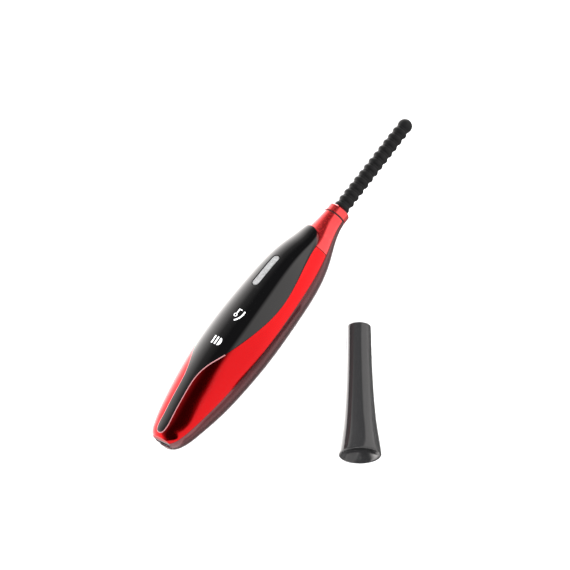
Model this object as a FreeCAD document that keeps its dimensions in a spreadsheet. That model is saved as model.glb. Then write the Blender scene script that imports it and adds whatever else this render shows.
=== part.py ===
import FreeCAD, Part
import math
import os
import Sketcher

# Heated eyelash curler, pen shaped, with its pull-off cap lying beside it.
# Curler stations run along X from the tail end face (0) to the wand tip (151),
# +Z is the normal of the black panel and +Y its left side. The placement at the
# end rolls the curler onto the flat behind its left flank.
V = FreeCAD.Vector
doc = FreeCAD.newDocument("eyelash_curler")
sheet = doc.addObject("Spreadsheet::Sheet", "dims")

SIZES = {
    "origin_station": 50.0,
    "roll_angle": 30.0,
    "rest_height": 12.9,
    "wall": 1.8,
    "ledge_depth": 1.0,
    "seam_half": 0.06,
    "neck_seam_half": 0.14,
    "neck_seam": 89.1,
    "neck_end": 104.0,
    "neck_bore": 3.05,
    "panel_gap": 0.08,
    "trim_width": 0.24,
    "trim_end": 35.5,
    "key_station": 70.3,
    "key_length": 13.9,
    "key_width": 2.7,
    "key_slot_gap": 0.3,
    "key_recess": 0.2,
    "key_low": 6.75,
    "key_flange_low": 6.15,
    "key_flange_extra": 0.9,
    "icon_high_station": 51.2,
    "icon_low_station": 39.6,
    "icon_side": -2.4,
    "window_radius": 3.2,
    "guide_radius": 3.0,
    "board_start": 36.0,
    "board_length": 48.0,
    "board_width": 13.0,
    "board_low": 1.8,
    "board_thick": 1.2,
    "board_top": 3.0,
    "switch_side": 6.0,
    "switch_height": 2.3,
    "switch_bore": 1.0,
    "switch_bore_low": 4.0,
    "plunger_radius": 0.9,
    "plunger_low": 4.7,
    "chip_station": 59.0,
    "chip_side": 5.0,
    "chip_height": 1.0,
    "led_length": 1.6,
    "led_width": 0.9,
    "led_height": 0.8,
    "screw_station": 80.0,
    "screw_spread": 4.4,
    "screw_radius": 0.8,
    "screw_head_radius": 1.5,
    "screw_head_height": 0.9,
    "screw_length": 5.0,
    "boss_radius": 1.9,
    "cell_start": 28.5,
    "cell_length": 43.5,
    "cell_radius": 5.0,
    "cell_axis": -5.2,
    "holder_start": 32.0,
    "holder_length": 36.0,
    "holder_width": 12.0,
    "holder_low": -4.0,
    "holder_height": 5.8,
    "holder_bore": 5.05,
    "pad_start": 40.0,
    "pad_length": 20.0,
    "pad_width": 6.0,
    "pad_height": 0.5,
    "lead_radius": 0.4,
    "socket_width": 7.0,
    "socket_height": 2.6,
    "socket_length": 5.6,
    "socket_centre": -2.4,
    "socket_wall": 0.35,
    "socket_tongue": 0.7,
    "collar_start": 104.6,
    "collar_bevel_start": 107.2,
    "collar_end": 107.6,
    "collar_radius": 4.35,
    "collar_bevel_radius": 3.95,
    "ring_radius": 4.0,
    "bushing_start": 94.5,
    "bushing_step": 102.3,
    "bushing_end": 107.4,
    "bushing_radius": 3.0,
    "bushing_bore": 1.3,
    "bushing_seat": 2.5,
    "sleeve_start": 102.5,
    "sleeve_root": 2.35,
    "sleeve_bore": 1.55,
    "sleeve_bore_end": 149.0,
    "first_rib": 109.0,
    "rib_pitch": 3.0,
    "rib_width": 2.0,
    "rib_base_radius": 2.95,
    "rib_tip_radius": 2.75,
    "valley_base_radius": 2.45,
    "valley_tip_radius": 2.3,
    "wand_tip": 151.0,
    "ball_radius": 2.7,
    "heater_start": 95.0,
    "heater_length": 51.5,
    "heater_radius": 1.15,
    "film_start": 108.0,
    "film_length": 36.0,
    "film_radius": 1.4,
    "sensor_start": 146.8,
    "sensor_length": 1.6,
    "sensor_radius": 0.8,
    "cap_length": 50.0,
    "cap_mouth_radius": 7.5,
    "cap_end_radius": 4.3,
    "cap_edge": 0.5,
    "cap_bore": 3.7,
    "cap_bore_start": 5.2,
    "cap_bore_end": 48.4,
    "cap_seat_start": 49.2,
    "cap_seat_radius": 3.3,
    "disc_start": 49.25,
    "disc_dimple_start": 49.6,
    "disc_end": 49.9,
    "disc_radius": 3.25,
    "disc_dimple_radius": 0.55,
    "cap_heading": 35.7,
    "cap_mouth_along": -12.4,
    "cap_mouth_side": -58.7,
}
RIB_COUNT = 13

# Sections of the handle: station, half width, front depth, back depth, panel depth.
SECTION_FIELDS = ["station", "half_width", "front", "back", "panel"]
SECTIONS = [
    [0.0, 3.9, 2.4, 5.2, 2.5],
    [0.9, 5.15, 3.2, 6.4, 3.35],
    [4.8, 7.4, 4.4, 8.7, 4.55],
    [10.8, 9.05, 6.0, 10.2, 6.15],
    [19.7, 10.8, 8.1, 11.9, 8.25],
    [31.5, 12.3, 10.2, 13.0, 10.35],
    [45.0, 13.1, 11.4, 13.4, 11.55],
    [67.0, 12.1, 11.4, 13.0, 11.65],
    [85.0, 9.6, 8.2, 10.9, 9.6],
    [91.3, 7.8, 5.6, 8.6, 7.7],
    [96.8, 5.9, 4.7, 6.1, 6.2],
    [101.3, 4.7, 4.5, 4.75, 4.6],
    [104.0, 4.35, 4.35, 4.35, 4.4],
]

# Right half of the panel's outline: station, half width.
PANEL_EDGE = [
    [1.4, 0.0], [1.95, 1.25], [3.4, 1.8], [7.2, 1.9], [12.8, 1.95], [18.4, 2.0],
    [23.0, 2.3], [27.8, 3.6], [33.3, 6.2], [39.2, 8.5], [46.2, 10.2], [54.2, 11.2],
    [62.8, 11.2], [71.8, 10.2], [80.2, 8.5], [87.2, 6.5], [91.5, 4.9], [94.2, 2.8],
    [95.0, 0.0],
]

# Outside of the cap between its rounded rims: distance from the mouth, radius.
CAP_EDGE = [[6.4, 6.75], [11.7, 6.0], [17.5, 5.45], [25.0, 4.95], [36.0, 4.5]]

# Inside of the cap's mouth: distance from the mouth, radius.
CAP_MOUTH = [[0.4, 6.4], [1.8, 5.5], [3.0, 4.95], [4.0, 4.65], [5.0, 4.65]]


def fill_sheet():
    row = 1
    for alias, value in SIZES.items():
        sheet.set("A%d" % row, alias.replace("_", " "))
        sheet.set("B%d" % row, str(value))
        sheet.setAlias("B%d" % row, alias)
        row += 1
    for number, section in enumerate(SECTIONS):
        for field, value in zip(SECTION_FIELDS, section):
            sheet.set("A%d" % row, "section %d %s" % (number, field))
            sheet.set("B%d" % row, str(value))
            sheet.setAlias("B%d" % row, "section%d_%s" % (number, field))
            row += 1
    doc.recompute()


def size(alias):
    return float(sheet.get(alias))


def section(number):
    return [size("section%d_%s" % (number, field)) for field in SECTION_FIELDS]


fill_sheet()
sections = [section(number) for number in range(len(SECTIONS))]
handle_place = FreeCAD.Placement(V(-size("origin_station"), 0, size("rest_height")),
                                 FreeCAD.Rotation(V(1, 0, 0), -size("roll_angle")))


def cap_place():
    """The cap lies on its mouth rim and its closed end rim, so its axis dips."""
    edge = size("cap_edge")
    drop = size("cap_mouth_radius") - size("cap_end_radius")
    dip = math.atan2(drop, size("cap_length") - 2 * edge)
    rise = (size("cap_mouth_radius") - edge) * math.cos(dip) + edge * (1 + math.sin(dip))
    turn = FreeCAD.Rotation(V(0, 0, 1), size("cap_heading"))
    turn = turn.multiply(FreeCAD.Rotation(V(0, 1, 0), math.degrees(dip)))
    return FreeCAD.Placement(V(size("cap_mouth_along"), size("cap_mouth_side"), rise), turn)


sub_parts = []


def finished(label, obj, place=handle_place):
    obj.Label = label
    obj.Placement = place
    sub_parts.append(obj)
    return obj


def from_shape(label, shape, place=handle_place):
    obj = doc.addObject("Part::Feature", label + "_piece")
    obj.Shape = shape
    return finished(label, obj, place)


def bind(obj, **expressions):
    for name, expression in expressions.items():
        obj.setExpression(name.replace("__", "."), expression)
    return obj


def block(name, start, low, length, width, height, side="0"):
    """A box centred on the panel's meridian, or moved sideways."""
    box = doc.addObject("Part::Box", name)
    bind(box, Length=length, Width=width, Height=height, Placement__Base__x=start,
         Placement__Base__y="%s - (%s) / 2" % (side, width), Placement__Base__z=low)
    return box


def upright(name, station, low, radius, height, side="0"):
    rod = doc.addObject("Part::Cylinder", name)
    return bind(rod, Radius=radius, Height=height, Placement__Base__x=station,
                Placement__Base__y=side, Placement__Base__z=low)


def lying(name, start, level, radius, length, side="0"):
    rod = doc.addObject("Part::Cylinder", name)
    rod.Placement = FreeCAD.Placement(V(0, 0, 0), FreeCAD.Rotation(V(0, 1, 0), 90))
    return bind(rod, Radius=radius, Height=length, Placement__Base__x=start,
                Placement__Base__y=side, Placement__Base__z=level)


def group(name, pieces):
    together = doc.addObject("Part::Compound", name)
    together.Links = pieces
    return together


def joined(name, pieces):
    fuse = doc.addObject("Part::MultiFuse", name)
    fuse.Shapes = pieces
    return fuse


def less(name, base, tool):
    cut = doc.addObject("Part::Cut", name)
    cut.Base = base
    cut.Tool = tool
    return cut


def new_sketch(body, name):
    sketch = body.newObject("Sketcher::SketchObject", name)
    plane = [face for face in body.Origin.OriginFeatures if face.Role == "XY_Plane"][0]
    sketch.AttachmentSupport = [(plane, "")]
    sketch.MapMode = "FlatFace"
    return sketch


def hold(sketch, kind, edge, alias):
    """Ties an edge's start point to a cell of the sheet."""
    index = sketch.addConstraint(Sketcher.Constraint(kind, -1, 1, edge, 1, size(alias)))
    sketch.renameConstraint(index, "%s_%d" % (kind, edge))
    sketch.setExpression("Constraints.%s_%d" % (kind, edge), "dims." + alias)


def turned(label, corners, place=handle_place):
    """A body turned about the X axis from a closed outline of (station, radius) cells."""
    body = doc.addObject("PartDesign::Body", label + "_body")
    sketch = new_sketch(body, label + "_outline")
    spots = [V(size(along), size(radius) if radius else 0, 0) for along, radius in corners]
    for index, spot in enumerate(spots):
        sketch.addGeometry(Part.LineSegment(spot, spots[(index + 1) % len(spots)]), False)
    for index, (along, radius) in enumerate(corners):
        following = (index + 1) % len(corners)
        sketch.addConstraint(Sketcher.Constraint("Coincident", index, 2, following, 1))
        hold(sketch, "DistanceX", index, along)
        if radius:
            hold(sketch, "DistanceY", index, radius)
        else:
            sketch.addConstraint(Sketcher.Constraint("PointOnObject", index, 1, -1))
    turn = body.newObject("PartDesign::Revolution", label + "_turn")
    turn.Profile = sketch
    turn.ReferenceAxis = (sketch, ["H_Axis"])
    turn.Angle = 360
    doc.recompute()
    return finished(label, body, place)


def half_ring(station, half_width, depth, skirt):
    """Half an ellipse over the parting plane, closed below it by a square skirt."""
    way = math.copysign(1, depth)
    corner = math.sqrt(0.5)
    poles = [V(station, -half_width, 0), V(station, -half_width, depth), V(station, 0, depth),
             V(station, half_width, depth), V(station, half_width, 0)]
    arch = Part.BSplineCurve()
    arch.buildFromPolesMultsKnots(poles, [3, 2, 3], [0, 0.5, 1], False, 2,
                                  [1, corner, 1, corner, 1])
    low = [V(station, half_width, 0), V(station, half_width, -way * skirt),
           V(station, -half_width, -way * skirt), V(station, -half_width, 0)]
    edges = [arch.toShape()]
    if not skirt:
        return Part.Wire(edges + [Part.makeLine(low[0], low[3])])
    return Part.Wire(edges + [Part.makeLine(low[i], low[i + 1]) for i in range(3)])


def at_station(station):
    for first, second in zip(sections, sections[1:]):
        if first[0] <= station <= second[0]:
            share = (station - first[0]) / (second[0] - first[0])
            return [one + share * (two - one) for one, two in zip(first, second)]
    return sections[-1]


def half_body(column, inset=0.0, first=None, last=None, skirt=0.0):
    """One half of the handle: column 2 is the front, 3 the back and 4 the panel."""
    chosen = list(sections)
    if first is not None:
        chosen = [item for item in chosen if first + 2 < item[0] < last - 2]
        chosen = [at_station(first)] + chosen + [at_station(last)]
    way = -1 if column == 3 else 1
    rings = [half_ring(item[0], item[1] - inset, way * (item[column] - inset), skirt)
             for item in chosen]
    return Part.makeLoft(rings, True, False)


def slab(start, end, low, high):
    return Part.makeBox(end - start, 40, high - low, V(start, -20, low))


def capsule(station, length, width, low, high):
    half = width / 2
    reach = length / 2 - half
    middle = Part.makeBox(2 * reach, width, high - low, V(station - reach, -half, low))
    ends = [Part.makeCylinder(half, high - low, V(station + way * reach, 0, low))
            for way in (-1, 1)]
    return middle.multiFuse(ends).removeSplitter()


def panel_outline(grow):
    """The panel's outline, raised into a prism; grow moves its edge outwards."""
    right = [V(station, -half, 0) for station, half in PANEL_EDGE]
    left = [V(station, half, 0) for station, half in reversed(PANEL_EDGE[1:-1])]
    curve = Part.BSplineCurve()
    curve.interpolate(right + left, PeriodicFlag=True)
    if grow:
        points = []
        for spot in right + left:
            along = curve.tangent(curve.parameter(spot))[0]
            points.append(spot + V(along.y, -along.x, 0) * grow)
        curve = Part.BSplineCurve()
        curve.interpolate(points, PeriodicFlag=True)
    return Part.Face(Part.Wire([curve.toShape()])).extrude(V(0, 0, 30))


def make_shells():
    wall = size("wall")
    seam = size("seam_half")
    ledge = size("ledge_depth")
    neck_seam = size("neck_seam")
    neck_gap = size("neck_seam_half")
    neck_end = size("neck_end")
    trim_end = size("trim_end")
    bore = Part.makeCylinder(size("neck_bore"), 14, V(94, 0, 0), V(1, 0, 0))
    slot = capsule(size("key_station"), size("key_length") + 2 * size("key_slot_gap"),
                   size("key_width") + 2 * size("key_slot_gap"), 0, 30)
    under = half_body(2, ledge, 0.9, neck_end, 1.0)
    under_panel = half_body(2, ledge - 0.05, 0.9, neck_end, 1.0)

    front = half_body(2).cut(half_body(2, wall, wall, 97.0, 1.0))
    pocket = panel_outline(size("panel_gap"))
    edging = panel_outline(size("trim_width") + size("panel_gap"))
    pocket = pocket.fuse(edging.common(slab(0, trim_end, 0, 30))).cut(under)
    windows = [Part.makeCylinder(size("window_radius"), 30, V(size(station), size("icon_side"), 4))
               for station in ("icon_high_station", "icon_low_station")]
    front = front.cut(pocket).cut(slot).cut(bore)
    for window in windows:
        front = front.cut(window)
    from_shape("front_shell", front.common(slab(0, neck_seam - neck_gap, seam, 30)))
    from_shape("neck_cover", front.common(slab(neck_seam + neck_gap, neck_end, seam, 30)))

    proud = panel_outline(0).common(half_body(4)).cut(under_panel).cut(slot)
    from_shape("front_panel", proud)
    strip = edging.cut(panel_outline(size("panel_gap") / 2)).common(slab(0, trim_end, 0, 30))
    from_shape("panel_trim", strip.common(half_body(4)).cut(under_panel))

    back = half_body(3).cut(half_body(3, wall, wall, 97.0, 1.0)).cut(bore)
    for side in (-1, 1):
        tilt = FreeCAD.Rotation(V(1, 0, 0), side * size("roll_angle"))
        flat = Part.makeBox(160, 40, 10, V(-5, -20, -size("rest_height") - 10))
        flat.Placement = FreeCAD.Placement(V(0, 0, 0), tilt)
        back = back.cut(flat)
    hole = Part.makeBox(8, size("socket_width") + 0.2, size("socket_height") + 0.2,
                        V(-1, -size("socket_width") / 2 - 0.1,
                          size("socket_centre") - size("socket_height") / 2 - 0.1))
    back = back.common(slab(0, neck_end, -30, -seam)).cut(hole)
    inner = half_body(3, wall - 0.2, wall, 97.0, 0)
    for side in (-1, 1):
        boss = Part.makeCylinder(size("boss_radius"), size("board_low") + 12,
                                 V(size("screw_station"), side * size("screw_spread"), -12))
        pilot = Part.makeCylinder(size("screw_radius"), size("screw_length"),
                                  V(size("screw_station"), side * size("screw_spread"),
                                    size("board_top") - size("screw_length")))
        level = slab(70, 90, -12, -seam)
        above = Part.makeCylinder(size("boss_radius"), size("board_low"),
                                  V(size("screw_station"), side * size("screw_spread"), 0))
        post = boss.common(inner.common(level)).fuse(above)
        post = post.fuse(boss.common(slab(70, 90, -1, 0.5)))
        back = back.fuse(post).cut(pilot)
    from_shape("rear_shell", back)


def make_key():
    length = size("key_length")
    width = size("key_width")
    extra = 2 * size("key_flange_extra")
    low = size("key_low")
    under = size("key_flange_low")
    button = capsule(size("key_station"), length, width, under, 30)
    skin = half_body(4, size("key_recess"))
    flange = capsule(size("key_station"), length + extra, width + extra, under, low)
    from_shape("power_key", button.common(skin).fuse(flange).removeSplitter())


def make_electronics():
    board = block("board_blank", "dims.board_start", "dims.board_low", "dims.board_length",
                  "dims.board_width", "dims.board_thick")
    screw_side = ("-dims.screw_spread", "dims.screw_spread")
    holes = [upright("board_hole_%d" % i, "dims.screw_station", "dims.board_low - 1",
                     "dims.screw_radius + 0.1", "dims.board_thick + 2", screw_side[i])
             for i in range(2)]
    finished("circuit_board", less("drilled_board", board, group("board_holes", holes)))

    screws = []
    for i in range(2):
        shank = upright("screw_shank_%d" % i, "dims.screw_station",
                        "dims.board_top - dims.screw_length", "dims.screw_radius",
                        "dims.screw_length", screw_side[i])
        head = upright("screw_head_%d" % i, "dims.screw_station", "dims.board_top",
                       "dims.screw_head_radius", "dims.screw_head_height", screw_side[i])
        screws.append(joined("screw_%d" % i, [shank, head]))
    finished("board_screws", group("screw_pair", screws))

    case = block("switch_case", "dims.key_station - dims.switch_side / 2", "dims.board_top",
                 "dims.switch_side", "dims.switch_side", "dims.switch_height")
    well = upright("switch_well", "dims.key_station", "dims.switch_bore_low",
                   "dims.switch_bore", "dims.switch_height")
    finished("switch_body", less("bored_switch", case, well))
    plunger = upright("plunger_rod", "dims.key_station", "dims.plunger_low",
                      "dims.plunger_radius", "dims.key_flange_low - dims.plunger_low")
    finished("switch_plunger", group("plunger", [plunger]))

    chip = block("chip_case", "dims.chip_station", "dims.board_top", "dims.chip_side",
                 "dims.chip_side", "dims.chip_height")
    finished("control_chip", group("chip", [chip]))
    lights = [block("led_%s" % name, "dims.icon_%s_station - dims.led_length / 2" % name,
                    "dims.board_top", "dims.led_length", "dims.led_width", "dims.led_height",
                    "dims.icon_side")
              for name in ("high", "low")]
    finished("status_leds", group("led_pair", lights))

    cell = lying("cell_can", "dims.cell_start", "dims.cell_axis", "dims.cell_radius",
                 "dims.cell_length")
    tip = lying("cell_tip", "dims.cell_start + dims.cell_length", "dims.cell_axis", "1.5", "0.8")
    finished("battery_cell", joined("cell", [cell, tip]))
    cradle = block("cradle_block", "dims.holder_start", "dims.holder_low", "dims.holder_length",
                   "dims.holder_width", "dims.holder_height")
    trough = lying("cradle_trough", "dims.holder_start - 1", "dims.cell_axis",
                   "dims.holder_bore", "dims.holder_length + 2")
    finished("battery_holder", less("cradle", cradle, trough))
    pad = block("pad_block", "dims.pad_start", "dims.cell_axis - dims.cell_radius - 0.6",
                "dims.pad_length", "dims.pad_width", "dims.pad_height")
    finished("battery_pad", group("pad", [pad]))
    rear_rise = upright("rear_lead_rise", "dims.cell_start - dims.lead_radius",
                        "dims.cell_axis", "dims.lead_radius",
                        "dims.board_low + 0.6 - dims.cell_axis")
    rear_run = lying("rear_lead_run", "dims.cell_start - 2 * dims.lead_radius",
                     "dims.board_low + 0.6", "dims.lead_radius",
                     "dims.board_start - dims.cell_start + 2 * dims.lead_radius")
    top_rise = upright("top_lead_rise", "dims.cell_start + dims.cell_length + 1.2",
                       "dims.cell_axis", "dims.lead_radius", "dims.board_low - dims.cell_axis")
    leads = [joined("rear_lead", [rear_rise, rear_run]), top_rise]
    finished("battery_leads", group("lead_pair", leads))

    shell = block("socket_case", "0.3", "dims.socket_centre - dims.socket_height / 2",
                  "dims.socket_length", "dims.socket_width", "dims.socket_height")
    room = block("socket_room", "0", "dims.socket_centre - dims.socket_height / 2 + dims.socket_wall",
                 "dims.socket_length - 0.7", "dims.socket_width - 2 * dims.socket_wall",
                 "dims.socket_height - 2 * dims.socket_wall")
    tongue = block("socket_tongue_bar", "1.2", "dims.socket_centre - dims.socket_tongue / 2",
                   "dims.socket_length - 1.2", "dims.socket_width - 2.4", "dims.socket_tongue")
    hollow = less("socket_shell", shell, room)
    finished("charging_socket", joined("socket", [hollow, tongue]))


def make_light_guide():
    """A clear bar over the two lights, with a post into each panel window."""
    low = size("board_top") + size("led_height") + 0.3
    high = size("icon_high_station")
    start = size("icon_low_station")
    side = size("icon_side")
    bar = Part.makeBox(high - start, 3.0, 1.6, V(start, side - 1.5, low))
    inside = half_body(2, size("ledge_depth"), 0.9, size("neck_end"), 1.0)
    posts = [Part.makeCylinder(size("guide_radius"), 30, V(station, side, low))
             for station in (start, high)]
    guide = bar.multiFuse(posts).common(inside).removeSplitter()
    from_shape("light_guide", guide)


def make_wand():
    turned("neck_collar", [("collar_start", "neck_bore"), ("collar_start", "collar_radius"),
                           ("collar_bevel_start", "collar_radius"),
                           ("collar_end", "collar_bevel_radius"), ("collar_end", "neck_bore")])
    turned("grip_ring", [("neck_end", "neck_bore"), ("neck_end", "ring_radius"),
                         ("collar_start", "ring_radius"), ("collar_start", "neck_bore")])
    turned("wand_bushing", [("bushing_start", "bushing_bore"), ("bushing_start", "bushing_radius"),
                            ("bushing_end", "bushing_radius"), ("bushing_end", "bushing_seat"),
                            ("bushing_step", "bushing_seat"), ("bushing_step", "bushing_bore")])
    core = lying("core_rod", "dims.heater_start", "0", "dims.heater_radius", "dims.heater_length")
    finished("heater_core", group("core", [core]))
    film = lying("film_outside", "dims.film_start", "0", "dims.film_radius", "dims.film_length")
    inner = lying("film_inside", "dims.film_start - 1", "0", "dims.heater_radius",
                  "dims.film_length + 2")
    finished("heater_film", less("film", film, inner))
    bead = lying("bead", "dims.sensor_start", "0", "dims.sensor_radius", "dims.sensor_length")
    finished("temperature_sensor", group("sensor", [bead]))
    wires = [lying("heater_wire_%d" % i, "dims.board_start + dims.board_length",
                   "dims.board_low + 0.6", "dims.lead_radius",
                   "dims.heater_start + 1.5 - dims.board_start - dims.board_length - 2.2", side)
             for i, side in enumerate(("-1", "1"))]
    finished("heater_leads", group("heater_wires", wires))


def make_comb_sleeve():
    """The ribbed sleeve: rounded ribs on a slim tapering tube, and a ball end."""
    first = size("first_rib")
    pitch = size("rib_pitch")
    half = size("rib_width") / 2
    root = size("sleeve_root")
    tip = size("wand_tip")
    ball = size("ball_radius")
    spots = [V(size("sleeve_start"), size("sleeve_bore"), 0), V(size("sleeve_start"), root, 0)]
    edges = [Part.makeLine(spots[0], spots[1])]
    here = spots[1]
    for rib in range(RIB_COUNT):
        share = rib / (RIB_COUNT - 1)
        crest = size("rib_base_radius") * (1 - share) + size("rib_tip_radius") * share
        valley = size("valley_base_radius") * (1 - share) + size("valley_tip_radius") * share
        middle = first + rib * pitch
        start = V(middle - half, valley, 0)
        end = V(middle + half, valley, 0)
        edges.append(Part.makeLine(here, start))
        edges.append(Part.Arc(start, V(middle, crest, 0), end).toShape())
        here = end
    neck = size("valley_tip_radius")
    centre = tip - ball
    foot = V(centre - math.sqrt(ball ** 2 - neck ** 2), neck, 0)
    edges.append(Part.makeLine(here, foot))
    edges.append(Part.Arc(foot, V(centre, ball, 0), V(tip, 0, 0)).toShape())
    bottom = V(size("sleeve_bore_end"), 0, 0)
    corner = V(size("sleeve_bore_end"), size("sleeve_bore"), 0)
    edges.append(Part.makeLine(V(tip, 0, 0), bottom))
    edges.append(Part.makeLine(bottom, corner))
    edges.append(Part.makeLine(corner, spots[0]))
    face = Part.Face(Part.Wire(edges))
    from_shape("comb_sleeve", face.revolve(V(0, 0, 0), V(1, 0, 0), 360))


def make_cap():
    """A flared cover, thick at the mouth, with a straight bore for the wand."""
    length = size("cap_length")
    edge = size("cap_edge")
    mouth = size("cap_mouth_radius")
    end = size("cap_end_radius")
    nip = edge * (1 - math.sqrt(0.5))
    rim = Part.Arc(V(0, mouth - edge, 0), V(nip, mouth - nip, 0), V(edge, mouth, 0))
    crown = Part.Arc(V(length - edge, end, 0), V(length - nip, end - nip, 0),
                     V(length, end - edge, 0))
    flare = Part.BSplineCurve()
    middle = [V(along, radius, 0) for along, radius in CAP_EDGE]
    flare.interpolate([V(edge, mouth, 0)] + middle + [V(length - edge, end, 0)])
    inner = [V(length, end - edge, 0), V(length, size("cap_seat_radius"), 0),
             V(size("cap_seat_start"), size("cap_seat_radius"), 0),
             V(size("cap_seat_start"), 0, 0), V(size("cap_bore_end"), 0, 0),
             V(size("cap_bore_end"), size("cap_bore"), 0),
             V(size("cap_bore_start"), size("cap_bore"), 0)]
    throat = Part.BSplineCurve()
    throat.interpolate([V(along, radius, 0) for along, radius in reversed(CAP_MOUTH)])
    inner.append(throat.StartPoint)
    edges = [rim.toShape(), flare.toShape(), crown.toShape()]
    edges += [Part.makeLine(one, two) for one, two in zip(inner, inner[1:])]
    edges.append(throat.toShape())
    edges.append(Part.makeLine(throat.EndPoint, V(0, mouth - edge, 0)))
    face = Part.Face(Part.Wire(edges))
    from_shape("cap_shell", face.revolve(V(0, 0, 0), V(1, 0, 0), 360), cap_place())
    turned("cap_end_disc", [("disc_start", ""), ("disc_start", "disc_radius"),
                            ("disc_end", "disc_radius"), ("disc_end", "disc_dimple_radius"),
                            ("disc_dimple_start", "")], cap_place())


def check_and_write():
    doc.recompute()
    for obj in doc.Objects:
        if "Invalid" in obj.State or "Error" in obj.State:
            raise RuntimeError("%s did not compute: %s" % (obj.Name, obj.State))
    os.makedirs("parts", exist_ok=True)
    for obj in sub_parts:
        shape = obj.Shape
        if shape.isNull() or not shape.isValid() or not shape.Solids:
            raise RuntimeError("%s has no valid solid" % obj.Label)
        print("%-20s %9.2f mm3, %d solid(s)" % (obj.Label, shape.Volume, len(shape.Solids)))
    for obj in sub_parts:
        obj.Shape.exportStep("parts/%s.step" % obj.Label)


make_shells()
make_key()
make_electronics()
make_light_guide()
make_wand()
make_comb_sleeve()
make_cap()
check_and_write()
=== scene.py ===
import bmesh
import bpy
import math
import numpy as np
from mathutils import Matrix, Vector
from mathutils.bvhtree import BVHTree


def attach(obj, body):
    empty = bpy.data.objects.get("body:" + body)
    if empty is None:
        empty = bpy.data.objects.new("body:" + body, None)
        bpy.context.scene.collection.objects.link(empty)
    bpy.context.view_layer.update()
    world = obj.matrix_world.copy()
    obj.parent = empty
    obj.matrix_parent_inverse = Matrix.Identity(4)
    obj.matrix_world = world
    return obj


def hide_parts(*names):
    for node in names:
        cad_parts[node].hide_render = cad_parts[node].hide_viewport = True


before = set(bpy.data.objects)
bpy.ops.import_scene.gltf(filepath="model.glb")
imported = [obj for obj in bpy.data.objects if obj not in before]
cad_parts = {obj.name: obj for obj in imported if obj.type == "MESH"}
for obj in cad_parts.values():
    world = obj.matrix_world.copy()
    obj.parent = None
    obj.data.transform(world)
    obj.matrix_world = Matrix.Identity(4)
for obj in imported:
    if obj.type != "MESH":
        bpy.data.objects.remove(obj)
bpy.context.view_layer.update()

mm = 0.001
stationOrigin = 50 * mm  # station of the row's origin, from the tail end
axisHeight = 12.9 * mm  # handle axis above the table
handleRoll = math.radians(-30)  # the panel looks up and to +Y

# from the handle's own stations (X along, Y left, Z out of the panel) to the table
handlePlace = (Matrix.Translation((-stationOrigin, 0, axisHeight))
               @ Matrix.Rotation(handleRoll, 4, "X"))


# sections of the handle: station and half sizes, in mm
handleShape = {
    "station": [0, 0.9, 4.8, 10.8, 19.7, 31.5, 45, 67, 85, 91.3, 96.8, 101.3, 104],
    "side": [3.9, 5.15, 7.4, 9.05, 10.8, 12.3, 13.1, 12.1, 9.6, 7.8, 5.9, 4.7, 4.35],
    "front": [2.4, 3.2, 4.4, 6.0, 8.1, 10.2, 11.4, 11.4, 8.2, 5.6, 4.7, 4.5, 4.35],
    "back": [5.2, 6.4, 8.7, 10.2, 11.9, 13.0, 13.4, 13.0, 10.9, 8.6, 6.1, 4.75, 4.35],
    "panel": [2.5, 3.35, 4.55, 6.15, 8.25, 10.35, 11.55, 11.65, 9.6, 7.7, 6.2, 4.6, 4.4],
}


# second derivatives of the natural curve through the sections' values
def bendsOf(values):
    station = handleShape["station"]
    count = len(station)
    matrix = np.eye(count)
    right = np.zeros(count)
    for i in range(1, count - 1):
        before = station[i] - station[i - 1]
        after = station[i + 1] - station[i]
        matrix[i, i - 1:i + 2] = [before, 2 * (before + after), after]
        right[i] = 6 * ((values[i + 1] - values[i]) / after
                        - (values[i] - values[i - 1]) / before)
    return np.linalg.solve(matrix, right)


bends = {name: bendsOf(values) for name, values in handleShape.items() if name != "station"}


# the half size and its slope along the handle at a station in mm
def sizeAt(name, place):
    station = handleShape["station"]
    values = handleShape[name]
    place = min(max(place, station[0]), station[-1])
    i = min(max(int(np.searchsorted(station, place)) - 1, 0), len(station) - 2)
    gap = station[i + 1] - station[i]
    low = (station[i + 1] - place) / gap
    high = 1 - low
    bend = bends[name]
    value = (low * values[i] + high * values[i + 1]
             + ((low ** 3 - low) * bend[i] + (high ** 3 - high) * bend[i + 1]) * gap ** 2 / 6)
    slope = ((values[i + 1] - values[i]) / gap
             + (-(3 * low ** 2 - 1) * bend[i] + (3 * high ** 2 - 1) * bend[i + 1]) * gap / 6)
    return value, slope


# outward normal of the half-ellipse surface through a handle spot in metres
def surfaceNormal(spot, depthName):
    side, sideSlope = sizeAt("side", spot.x / mm)
    depth, depthSlope = sizeAt(depthName if spot.z > 0 else "back", spot.x / mm)
    across = spot.y / mm
    out = spot.z / mm
    along = -(across ** 2 * sideSlope / side ** 3 + out ** 2 * depthSlope / depth ** 3)
    normal = Vector((along, across / side ** 2, out / depth ** 2))
    return normal.normalized()


# how CAD meshes are cleaned for smooth shading: lengths in mm, angles in degrees
meshValues = {"mergeWithin": 0.002, "shortEdge": 0.001, "keepAngle": 28, "followWithin": 24}


# gives the curved outer faces the normals of the handle's true surface
def followSurface(piece, depthName):
    mesh = piece.data
    toHandle = handlePlace.inverted()
    turnIn = toHandle.to_3x3()
    turnOut = handlePlace.to_3x3()
    corners = [Vector((0, 0, 0))] * len(mesh.loops)
    limit = math.cos(math.radians(meshValues["followWithin"]))
    for face in mesh.polygons:
        facing = turnIn @ face.normal
        for index in face.loop_indices:
            spot = toHandle @ mesh.vertices[mesh.loops[index].vertex_index].co
            normal = surfaceNormal(spot, depthName)
            if normal.dot(facing) > limit:
                corners[index] = turnOut @ normal
    mesh.normals_split_custom_set(corners)


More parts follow.
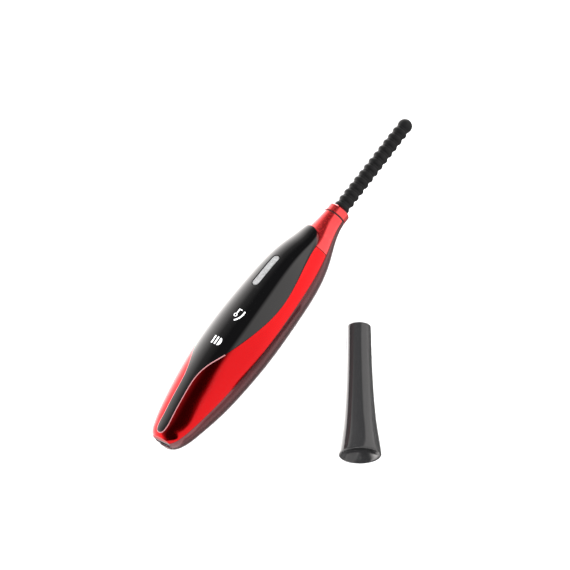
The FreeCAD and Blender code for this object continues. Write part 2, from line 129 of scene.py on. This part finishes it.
def placeMesh(bm, name, matrix=None):
    if matrix is not None:
        bmesh.ops.transform(bm, matrix=matrix, verts=bm.verts)
    mesh = bpy.data.meshes.new(name)
    bm.to_mesh(mesh)
    bm.free()
    piece = bpy.data.objects.new(name, mesh)
    bpy.context.scene.collection.objects.link(piece)
    return piece


def finishPiece(piece, material, body, nodes=()):
    piece.data.materials.clear()
    piece.data.materials.append(material)
    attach(piece, body)
    if nodes:
        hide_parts(*nodes)
    return piece


# a merged copy of a CAD node, so that its curved faces shade smoothly
def skinOf(node, pieceName):
    bm = bmesh.new()
    bm.from_mesh(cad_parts[node].data)
    bmesh.ops.remove_doubles(bm, verts=bm.verts, dist=meshValues["mergeWithin"] * mm)
    bmesh.ops.dissolve_degenerate(bm, dist=meshValues["shortEdge"] * mm, edges=bm.edges)
    for face in bm.faces:
        face.smooth = True
    for edge in bm.edges:
        edge.smooth = edge.calc_face_angle(0) < math.radians(meshValues["keepAngle"])
    return placeMesh(bm, pieceName)


def newGroup(name, inputs, outputs):
    tree = bpy.data.node_groups.new(name, "ShaderNodeTree")
    for label, kind, value in inputs:
        socket = tree.interface.new_socket(label, in_out="INPUT", socket_type=kind)
        if value is not None:
            socket.default_value = value
    for label, kind in outputs:
        tree.interface.new_socket(label, in_out="OUTPUT", socket_type=kind)
    return tree, tree.nodes.new("NodeGroupInput"), tree.nodes.new("NodeGroupOutput")


grainValues = {"fineDetail": 4, "broadScale": 70, "broadDetail": 3, "depth": 0.1 * mm}
wearValues = {"bendFrom": 0.53, "bendTo": 0.62, "rubScale": 260, "rubDetail": 5}


# fine moulded grain: a height for Bump and a small change of roughness
def makeGrainGroup():
    tree, source, result = newGroup("mouldedGrain", [
        ("Scale", "NodeSocketFloat", 900.0), ("Base Roughness", "NodeSocketFloat", 0.3),
        ("Spread", "NodeSocketFloat", 0.08)],
        [("Height", "NodeSocketFloat"), ("Roughness", "NodeSocketFloat")])
    coord = tree.nodes.new("ShaderNodeTexCoord")
    fine = tree.nodes.new("ShaderNodeTexNoise")
    fine.inputs["Detail"].default_value = grainValues["fineDetail"]
    broad = tree.nodes.new("ShaderNodeTexNoise")
    broad.inputs["Scale"].default_value = grainValues["broadScale"]
    broad.inputs["Detail"].default_value = grainValues["broadDetail"]
    tree.links.new(coord.outputs["Object"], fine.inputs["Vector"])
    tree.links.new(coord.outputs["Object"], broad.inputs["Vector"])
    tree.links.new(source.outputs["Scale"], fine.inputs["Scale"])
    centred = tree.nodes.new("ShaderNodeMath")
    centred.operation = "SUBTRACT"
    centred.inputs[1].default_value = 0.5
    spread = tree.nodes.new("ShaderNodeMath")
    spread.operation = "MULTIPLY_ADD"
    tree.links.new(broad.outputs["Fac"], centred.inputs[0])
    tree.links.new(centred.outputs[0], spread.inputs[0])
    tree.links.new(source.outputs["Spread"], spread.inputs[1])
    tree.links.new(source.outputs["Base Roughness"], spread.inputs[2])
    tree.links.new(fine.outputs["Fac"], result.inputs["Height"])
    tree.links.new(spread.outputs[0], result.inputs["Roughness"])
    return tree


# lighter rubbed edges: mixes the wear colour in where the surface bends
def makeWearGroup():
    tree, source, result = newGroup("edgeWear", [
        ("Color", "NodeSocketColor", (0.5, 0.5, 0.5, 1)),
        ("Wear Color", "NodeSocketColor", (0.8, 0.8, 0.8, 1)),
        ("Amount", "NodeSocketFloat", 0.3)],
        [("Color", "NodeSocketColor"), ("Mask", "NodeSocketFloat")])
    shape = tree.nodes.new("ShaderNodeNewGeometry")
    ramp = tree.nodes.new("ShaderNodeMapRange")
    ramp.inputs["From Min"].default_value = wearValues["bendFrom"]
    ramp.inputs["From Max"].default_value = wearValues["bendTo"]
    coord = tree.nodes.new("ShaderNodeTexCoord")
    rub = tree.nodes.new("ShaderNodeTexNoise")
    rub.inputs["Scale"].default_value = wearValues["rubScale"]
    rub.inputs["Detail"].default_value = wearValues["rubDetail"]
    broken = tree.nodes.new("ShaderNodeMath")
    broken.operation = "MULTIPLY"
    strength = tree.nodes.new("ShaderNodeMath")
    strength.operation = "MULTIPLY"
    mix = tree.nodes.new("ShaderNodeMix")
    mix.data_type = "RGBA"
    tree.links.new(shape.outputs["Pointiness"], ramp.inputs["Value"])
    tree.links.new(coord.outputs["Object"], rub.inputs["Vector"])
    tree.links.new(ramp.outputs["Result"], broken.inputs[0])
    tree.links.new(rub.outputs["Fac"], broken.inputs[1])
    tree.links.new(broken.outputs[0], strength.inputs[0])
    tree.links.new(source.outputs["Amount"], strength.inputs[1])
    tree.links.new(strength.outputs[0], mix.inputs["Factor"])
    tree.links.new(source.outputs["Color"], mix.inputs["A"])
    tree.links.new(source.outputs["Wear Color"], mix.inputs["B"])
    tree.links.new(mix.outputs["Result"], result.inputs["Color"])
    tree.links.new(strength.outputs[0], result.inputs["Mask"])
    return tree


# metallic flakes of candy paint, or the specks of a sprayed key
def makeFlakeGroup():
    tree, source, result = newGroup("fineFlakes", [
        ("Color", "NodeSocketColor", (0.5, 0.5, 0.5, 1)),
        ("Flake Color", "NodeSocketColor", (0.8, 0.8, 0.8, 1)),
        ("Scale", "NodeSocketFloat", 3000.0), ("Amount", "NodeSocketFloat", 0.3)],
        [("Color", "NodeSocketColor")])
    coord = tree.nodes.new("ShaderNodeTexCoord")
    cells = tree.nodes.new("ShaderNodeTexVoronoi")
    split = tree.nodes.new("ShaderNodeSeparateColor")
    strength = tree.nodes.new("ShaderNodeMath")
    strength.operation = "MULTIPLY"
    mix = tree.nodes.new("ShaderNodeMix")
    mix.data_type = "RGBA"
    tree.links.new(coord.outputs["Object"], cells.inputs["Vector"])
    tree.links.new(source.outputs["Scale"], cells.inputs["Scale"])
    tree.links.new(cells.outputs["Color"], split.inputs["Color"])
    tree.links.new(split.outputs["Red"], strength.inputs[0])
    tree.links.new(source.outputs["Amount"], strength.inputs[1])
    tree.links.new(strength.outputs[0], mix.inputs["Factor"])
    tree.links.new(source.outputs["Color"], mix.inputs["A"])
    tree.links.new(source.outputs["Flake Color"], mix.inputs["B"])
    tree.links.new(mix.outputs["Result"], result.inputs["Color"])
    return tree


grainGroup = makeGrainGroup()
wearGroup = makeWearGroup()
flakeGroup = makeFlakeGroup()


def finishOf(name, color, rough=0.3, spread=0.06, metallic=0.0, coat=0.0, coatRough=0.03,
             grain=900.0, bump=0.02, wear=0.15, wearColor=None, flakes=0.0, flakeColor=None,
             flakeScale=3000.0, transmission=0.0, ior=1.5, specular=0.5):
    material = bpy.data.materials.new(name)
    material.use_nodes = True
    tree = material.node_tree
    shader = tree.nodes["Principled BSDF"]
    grainNode = tree.nodes.new("ShaderNodeGroup")
    grainNode.node_tree = grainGroup
    grainNode.inputs["Scale"].default_value = grain
    grainNode.inputs["Base Roughness"].default_value = rough
    grainNode.inputs["Spread"].default_value = spread
    wearNode = tree.nodes.new("ShaderNodeGroup")
    wearNode.node_tree = wearGroup
    wearNode.inputs["Color"].default_value = (*color, 1)
    rubbed = wearColor or [part * 0.8 + 0.06 for part in color]
    wearNode.inputs["Wear Color"].default_value = (*rubbed, 1)
    wearNode.inputs["Amount"].default_value = wear
    lastColor = wearNode.outputs["Color"]
    if flakes:
        flakeNode = tree.nodes.new("ShaderNodeGroup")
        flakeNode.node_tree = flakeGroup
        flakeNode.inputs["Flake Color"].default_value = (*flakeColor, 1)
        flakeNode.inputs["Scale"].default_value = flakeScale
        flakeNode.inputs["Amount"].default_value = flakes
        tree.links.new(lastColor, flakeNode.inputs["Color"])
        lastColor = flakeNode.outputs["Color"]
    bumpNode = tree.nodes.new("ShaderNodeBump")
    bumpNode.inputs["Strength"].default_value = bump
    bumpNode.inputs["Distance"].default_value = grainValues["depth"]
    tree.links.new(lastColor, shader.inputs["Base Color"])
    tree.links.new(grainNode.outputs["Roughness"], shader.inputs["Roughness"])
    tree.links.new(grainNode.outputs["Height"], bumpNode.inputs["Height"])
    tree.links.new(bumpNode.outputs["Normal"], shader.inputs["Normal"])
    shader.inputs["Metallic"].default_value = metallic
    shader.inputs["Coat Weight"].default_value = coat
    shader.inputs["Coat Roughness"].default_value = coatRough
    shader.inputs["Transmission Weight"].default_value = transmission
    shader.inputs["IOR"].default_value = ior
    shader.inputs["Specular IOR Level"].default_value = specular
    return material


candyRed = finishOf("candyRed", (0.9, 0.006, 0.01), rough=0.19, metallic=1.0, coat=0.3,
                    wear=0.25, wearColor=(0.95, 0.12, 0.1), bump=0.004,
                    flakes=0.08, flakeColor=(1.0, 0.05, 0.05), flakeScale=5200)
# a pinker copy of the candy red for the neck and collar: the red is the casing's own colour,
# the extra pink is a painted highlight
neckRedPaintedSheen = finishOf("neckRedPaintedSheen", (0.86, 0.035, 0.04), rough=0.2, metallic=0.85, coat=1.0,
                   wear=0.25, wearColor=(0.95, 0.18, 0.16), bump=0.004,
                   flakes=0.08, flakeColor=(1.0, 0.1, 0.1), flakeScale=5200)
wineGloss = finishOf("wineGloss", (0.2, 0.04, 0.046), rough=0.18, metallic=0.85, coat=1.0,
                     wear=0.25, wearColor=(0.4, 0.2, 0.22), bump=0.004,
                     flakes=0.2, flakeColor=(0.3, 0.12, 0.14), flakeScale=5200)
pianoBlack = finishOf("pianoBlack", (0.003, 0.003, 0.0032), rough=0.05, spread=0.03, coat=0.6,
                      wear=0.2, wearColor=(0.03, 0.03, 0.03), bump=0.002)
# a trim along the lower strip only, where the panel's edge highlight shows: its pale pink
# colour is a painted edge highlight
pinkTrimPaintedHighlight = finishOf("pinkTrimPaintedHighlight", (0.38, 0.17, 0.18), rough=0.22, coat=0.4, bump=0.01)
keySilver = finishOf("keySilver", (0.22, 0.22, 0.22), rough=0.5, metallic=0.2, bump=0.12,
                     grain=2600.0, flakes=0.55, flakeColor=(0.52, 0.52, 0.53), flakeScale=2600)
combBlack = finishOf("combBlack", (0.006, 0.006, 0.0062), rough=0.5, spread=0.14, bump=0.15,
                     grain=2200.0, wear=0.5, wearColor=(0.02, 0.02, 0.02), specular=0.22)
bushBlack = finishOf("bushBlack", (0.01, 0.01, 0.01), rough=0.55, bump=0.08)
ringRubber = finishOf("ringRubber", (0.008, 0.008, 0.008), rough=0.6, bump=0.1, grain=1800.0)
smokeClear = finishOf("smokeClear", (0.036, 0.036, 0.037), rough=0.09, spread=0.02, bump=0.003,
                      wear=0.1, wearColor=(0.4, 0.4, 0.4), transmission=0.4, ior=1.47, coat=0.4)
smokeDisc = finishOf("smokeDisc", (0.16, 0.16, 0.165), rough=0.12, coat=0.3, bump=0.01)
iconWhite = finishOf("iconWhite", (0.85, 0.85, 0.86), rough=0.35, bump=0.01)
metalTin = finishOf("metalTin", (0.6, 0.6, 0.62), rough=0.3, metallic=1.0, bump=0.03)
laminate = finishOf("laminate", (0.02, 0.16, 0.06), rough=0.35, coat=0.3, bump=0.02)
darkMould = finishOf("darkMould", (0.03, 0.03, 0.032), rough=0.5, bump=0.06)
foamGrey = finishOf("foamGrey", (0.05, 0.05, 0.05), rough=0.9, bump=0.5, grain=1500.0)
blueWrap = finishOf("blueWrap", (0.03, 0.1, 0.34), rough=0.25, coat=0.3, bump=0.01)
redJacket = finishOf("redJacket", (0.45, 0.02, 0.02), rough=0.5, bump=0.03)
ceramic = finishOf("ceramic", (0.8, 0.78, 0.73), rough=0.4, bump=0.05)
foil = finishOf("foil", (0.72, 0.42, 0.2), rough=0.3, metallic=1.0, bump=0.03)
resin = finishOf("resin", (0.8, 0.78, 0.6), rough=0.2, bump=0.01)
frosted = finishOf("frosted", (0.85, 0.87, 0.88), rough=0.35, transmission=0.7, bump=0.02)
amber = finishOf("amber", (0.6, 0.28, 0.08), rough=0.15, bump=0.01)
print("materials made")


# piece: node, material, slot, body, depth curve of its outer surface
skins = {
    "frontCasing": ["front_shell", candyRed, "red_shell", "handle", "front"],
    # the neck casing and collar take the pinker red, which paints the highlight on the upper
    # red
    "neckCasing": ["neck_cover", neckRedPaintedSheen, "red_shell", "handle", "front"],
    "collar": ["neck_collar", neckRedPaintedSheen, "red_shell", "handle", None],
    "rearCasing": ["rear_shell", wineGloss, "wine_shell", "handle", "front"],
    "glossPanel": ["front_panel", pianoBlack, "black_panel", "handle", "panel"],
    # the strip edging stands only where the edge highlight shows, and its colour paints that
    # highlight
    "stripEdgingPaintedHighlight": ["panel_trim", pinkTrimPaintedHighlight, "pink_trim", "handle", "panel"],
    "barKey": ["power_key", keySilver, "silver_key", "key", "panel"],
    "combWand": ["comb_sleeve", combBlack, "black_comb", "handle", None],
    "gripRing": ["grip_ring", ringRubber, "black_ring", "handle", None],
    "clearCap": ["cap_shell", smokeClear, "smoke_cap", "cap", None],
    "capDisc": ["cap_end_disc", smokeDisc, "grey_disc", "cap", None],
}
made = {}
for pieceName, (node, material, slot, body, depthName) in skins.items():
    piece = skinOf(node, pieceName)
    if depthName:
        followSurface(piece, depthName)
    made[pieceName] = finishPiece(piece, material, body, [node])


drawValues = {"barCellsAlong": 12, "barCellsAcross": 6, "fullTurn": 6.28}


# a flat bar cut into cells, so that it can follow the panel
def addBar(bm, centre, width, length):
    grid = bmesh.ops.create_grid(bm, x_segments=drawValues["barCellsAlong"],
                                 y_segments=drawValues["barCellsAcross"], size=0.5)
    shape = (Matrix.Translation((centre[1], -centre[0], 0))
             @ Matrix.Diagonal((length, width, 1, 1)))
    bmesh.ops.transform(bm, matrix=shape, verts=grid["verts"])


# a curved stroke: a short edge spun round its centre
def addArc(bm, centre, radius, width, start, sweep, steps):
    middle = Vector((centre[1], -centre[0], 0))
    ends = []
    for reach in (radius - width / 2, radius, radius + width / 2):
        spoke = Matrix.Rotation(start, 4, "Z") @ Vector((reach, 0, 0))
        ends.append(bm.verts.new(middle + spoke))
    edges = [bm.edges.new(ends[:2]), bm.edges.new(ends[1:])]
    bmesh.ops.spin(bm, geom=ends + edges, cent=middle, axis=(0, 0, 1), angle=sweep,
                   steps=steps, use_merge=abs(sweep) > drawValues["fullTurn"])


symbolValues = {"mergeWithin": 0.01, "dropFrom": 20 * mm, "thickness": 0.03 * mm}


# drops a flat symbol, drawn in mm, on the panel and gives it a thin body
def layOnPanel(bm, place, name):
    bmesh.ops.remove_doubles(bm, verts=bm.verts, dist=symbolValues["mergeWithin"])
    bmesh.ops.transform(bm, matrix=Matrix.Translation((*place, 0)), verts=bm.verts)
    panel = made["glossPanel"].data.copy()
    panel.transform(handlePlace.inverted())
    ground = bmesh.new()
    ground.from_mesh(panel)
    tree = BVHTree.FromBMesh(ground)
    for vert in bm.verts:
        above = Vector((vert.co.x * mm, vert.co.y * mm, symbolValues["dropFrom"]))
        hit = tree.ray_cast(above, Vector((0, 0, -1)))
        vert.co = hit[0] + Vector((0, 0, symbolValues["thickness"]))
    ground.free()
    bpy.data.meshes.remove(panel)
    bmesh.ops.recalc_face_normals(bm, faces=bm.faces)
    if sum(face.normal.z for face in bm.faces) < 0:
        bmesh.ops.reverse_faces(bm, faces=bm.faces)
    bmesh.ops.solidify(bm, geom=bm.faces, thickness=symbolValues["thickness"])
    bmesh.ops.recalc_face_normals(bm, faces=bm.faces)
    return finishPiece(placeMesh(bm, name, handlePlace), iconWhite, "handle")


# both symbols are drawn flat in mm: right of the panel's middle, then towards the tip
chargeValues = {"place": (38.5, -1.85), "bar": 0.64, "tall": 3.1, "pitch": 1.36,
                "moonStart": 0.95, "moonDepth": 0.75,
                "moonBands": ((0.3, 0.6), (0.9, 0.6), (1.37, 0.34))}  # radius, width
bm = bmesh.new()
for reach, width in chargeValues["moonBands"]:
    addArc(bm, (0, 0), reach, width, 0, -math.pi, 24)
bmesh.ops.scale(bm, vec=(1, chargeValues["moonDepth"], 1), verts=bm.verts)
bmesh.ops.translate(bm, vec=(0, -chargeValues["moonStart"], 0), verts=bm.verts)
for count in (0, 1):
    addBar(bm, (-count * chargeValues["pitch"], 0), chargeValues["bar"], chargeValues["tall"])
layOnPanel(bm, chargeValues["place"], "chargeSymbol")

heatValues = {"place": (50.0, -2.05), "ring": 0.56, "ringStroke": 0.32,
              "stem": (0.1, 1.75), "stemWidth": 0.5, "stemLength": 2.0,
              "flag": (0.72, 2.55), "flagLength": 1.1, "flagWidth": 0.4,
              "arcCentre": (-2.35, 1.61), "arcRadius": 4.8, "arcStroke": 0.55,
              "arcStart": -79, "arcSweep": -61}
bm = bmesh.new()
addArc(bm, (0, 0), heatValues["ring"], heatValues["ringStroke"], 0, 2 * math.pi, 32)
addBar(bm, heatValues["stem"], heatValues["stemWidth"], heatValues["stemLength"])
addBar(bm, heatValues["flag"], heatValues["flagLength"], heatValues["flagWidth"])
addArc(bm, heatValues["arcCentre"], heatValues["arcRadius"], heatValues["arcStroke"],
       math.radians(heatValues["arcStart"]), math.radians(heatValues["arcSweep"]), 40)
layOnPanel(bm, heatValues["place"], "heatSymbol")

inside = {
    "switch_plunger": darkMould, "switch_body": metalTin, "light_guide": frosted,
    "circuit_board": laminate, "board_screws": metalTin, "status_leds": resin,
    "control_chip": darkMould, "charging_socket": metalTin, "battery_cell": blueWrap,
    "battery_holder": darkMould, "battery_pad": foamGrey, "battery_leads": redJacket,
    "heater_leads": redJacket, "heater_core": ceramic, "heater_film": foil,
    "temperature_sensor": amber, "wand_bushing": bushBlack,
}
for node, material in inside.items():
    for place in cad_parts[node].material_slots:
        place.material = material
print("pieces made:", len(made))


floorValues = {"size": 4.0, "cells": 8, "below": 0.02 * mm, "color": (0.9, 0.9, 0.905)}
bm = bmesh.new()
bmesh.ops.create_grid(bm, x_segments=floorValues["cells"], y_segments=floorValues["cells"],
                      size=floorValues["size"] / 2)
floor = placeMesh(bm, "floor", Matrix.Translation((0, 0, -floorValues["below"])))
floor.data.materials.append(finishOf("floorPaper", floorValues["color"], rough=0.9, bump=0.0,
                                     specular=0.1, wear=0.0))
floor.visible_glossy = False

cameraValues = {"azimuth": -54.3, "elevation": 68.0, "distance": 1.42, "lens": 250.0,
                "sensor": 36, "nearest": 0.01, "target": (0.0271, 0.0021, 0.0)}
camera = bpy.data.objects.new("camera", bpy.data.cameras.new("camera"))
bpy.context.scene.collection.objects.link(camera)
bpy.context.scene.camera = camera
camera.data.lens = cameraValues["lens"]
camera.data.sensor_width = cameraValues["sensor"]
camera.data.clip_start = cameraValues["nearest"]
turn = math.radians(cameraValues["azimuth"])
rise = math.radians(cameraValues["elevation"])
back = Vector((math.sin(turn) * math.cos(rise),
               -math.cos(turn) * math.cos(rise), math.sin(rise)))
camera.location = Vector(cameraValues["target"]) + back * cameraValues["distance"]
camera.rotation_mode = "QUATERNION"
camera.rotation_quaternion = (-back).to_track_quat("-Z", "Y")

lightValues = {
    "key": {"place": (-0.25, -0.35, 0.75), "size": 0.5, "power": 9.0},
    "fill": {"place": (0.45, 0.5, 0.6), "size": 0.7, "power": 7.0},
}
for name, values in lightValues.items():
    lamp = bpy.data.objects.new(name, bpy.data.lights.new(name, "AREA"))
    bpy.context.scene.collection.objects.link(lamp)
    lamp.location = values["place"]
    lamp.rotation_mode = "QUATERNION"
    lamp.rotation_quaternion = Vector(values["place"]).to_track_quat("Z", "Y")
    lamp.data.shape = "DISK"
    lamp.data.size = values["size"]
    lamp.data.energy = values["power"]
    lamp.visible_glossy = False


skyValues = {
    "boxTint": (1.0, 0.965, 0.95),
    "glowPower": 4.5,
    "leanFrom": 0.0, "leanTo": -0.5, "lean": 76.0,
    "riseFrom": 0.25, "riseTo": 0.62, "rise": 1.45,
    "plain": (0.95, 0.95, 0.96), "plainPower": 0.9,
}

# the soft box by its angle from straight up, in degrees, and its brightness there
boxStops = [(-180, 0.3), (-150, 0.12), (-132, 0.45), (-116, 0.2), (-107, 0.98), (-70, 0.92),
            (-2.0, 0.9), (9.0, 0.008), (180, 0.008)]

# the bright horizon on the far side, by the same angle
glowStops = [(-180, 0.0), (36, 0.0), (60, 0.06), (80, 0.3), (100, 0.6), (125, 0.95), (150, 0.8),
             (163, 0.2), (180, 0.1)]


# a light whose brightness follows the stops over an angle in radians
def rampLight(tree, angle, stops, power):
    share = tree.nodes.new("ShaderNodeMapRange")
    share.inputs["From Min"].default_value = -math.pi
    share.inputs["From Max"].default_value = math.pi
    tree.links.new(angle.outputs[0], share.inputs["Value"])
    ramp = tree.nodes.new("ShaderNodeValToRGB")
    points = ramp.color_ramp.elements
    while len(points) < len(stops):
        points.new(0.5)
    for point, (degrees, level) in zip(points, stops):
        point.position = (degrees + 180) / 360
        point.color = (*[level * tint for tint in skyValues["boxTint"]], 1)
    tree.links.new(share.outputs[0], ramp.inputs["Fac"])
    light = tree.nodes.new("ShaderNodeBackground")
    light.inputs["Strength"].default_value = power
    tree.links.new(ramp.outputs["Color"], light.inputs["Color"])
    return light


# a studio seen only in reflections: a lit horizon at +Y, a dark gap, then a soft box
def makeSky():
    world = bpy.data.worlds.new("studio")
    bpy.context.scene.world = world
    world.use_nodes = True
    tree = world.node_tree
    tree.nodes.clear()
    coord = tree.nodes.new("ShaderNodeTexCoord")
    split = tree.nodes.new("ShaderNodeSeparateXYZ")
    tree.links.new(coord.outputs["Generated"], split.inputs[0])
    angle = tree.nodes.new("ShaderNodeMath")
    angle.operation = "ARCTAN2"
    tree.links.new(split.outputs["Y"], angle.inputs[0])
    tree.links.new(split.outputs["Z"], angle.inputs[1])
    # towards the tail the box's edge leans over, so a dark wedge runs beside the strip
    lean = tree.nodes.new("ShaderNodeMapRange")
    lean.inputs["From Min"].default_value = skyValues["leanFrom"]
    lean.inputs["From Max"].default_value = skyValues["leanTo"]
    lean.inputs["To Min"].default_value = 0.0
    lean.inputs["To Max"].default_value = math.radians(skyValues["lean"])
    tree.links.new(split.outputs["X"], lean.inputs["Value"])
    leant = tree.nodes.new("ShaderNodeMath")
    tree.links.new(angle.outputs[0], leant.inputs[0])
    tree.links.new(lean.outputs[0], leant.inputs[1])
    softBox = rampLight(tree, leant, boxStops, 1.0)
    # the box is brighter towards the tip
    rise = tree.nodes.new("ShaderNodeMapRange")
    rise.inputs["From Min"].default_value = skyValues["riseFrom"]
    rise.inputs["From Max"].default_value = skyValues["riseTo"]
    rise.inputs["To Min"].default_value = 1.0
    rise.inputs["To Max"].default_value = skyValues["rise"]
    tree.links.new(split.outputs["X"], rise.inputs["Value"])
    tree.links.new(rise.outputs[0], softBox.inputs["Strength"])
    horizon = rampLight(tree, angle, glowStops, skyValues["glowPower"])
    studio = tree.nodes.new("ShaderNodeAddShader")
    tree.links.new(softBox.outputs[0], studio.inputs[0])
    tree.links.new(horizon.outputs[0], studio.inputs[1])
    plain = tree.nodes.new("ShaderNodeBackground")
    plain.inputs["Color"].default_value = (*skyValues["plain"], 1)
    plain.inputs["Strength"].default_value = skyValues["plainPower"]
    path = tree.nodes.new("ShaderNodeLightPath")
    mix = tree.nodes.new("ShaderNodeMixShader")
    tree.links.new(path.outputs["Is Glossy Ray"], mix.inputs["Fac"])
    tree.links.new(plain.outputs[0], mix.inputs[1])
    tree.links.new(studio.outputs[0], mix.inputs[2])
    out = tree.nodes.new("ShaderNodeOutputWorld")
    tree.links.new(mix.outputs[0], out.inputs["Surface"])


makeSky()
bpy.context.scene.view_settings.view_transform = "Standard"
print("light and camera set")
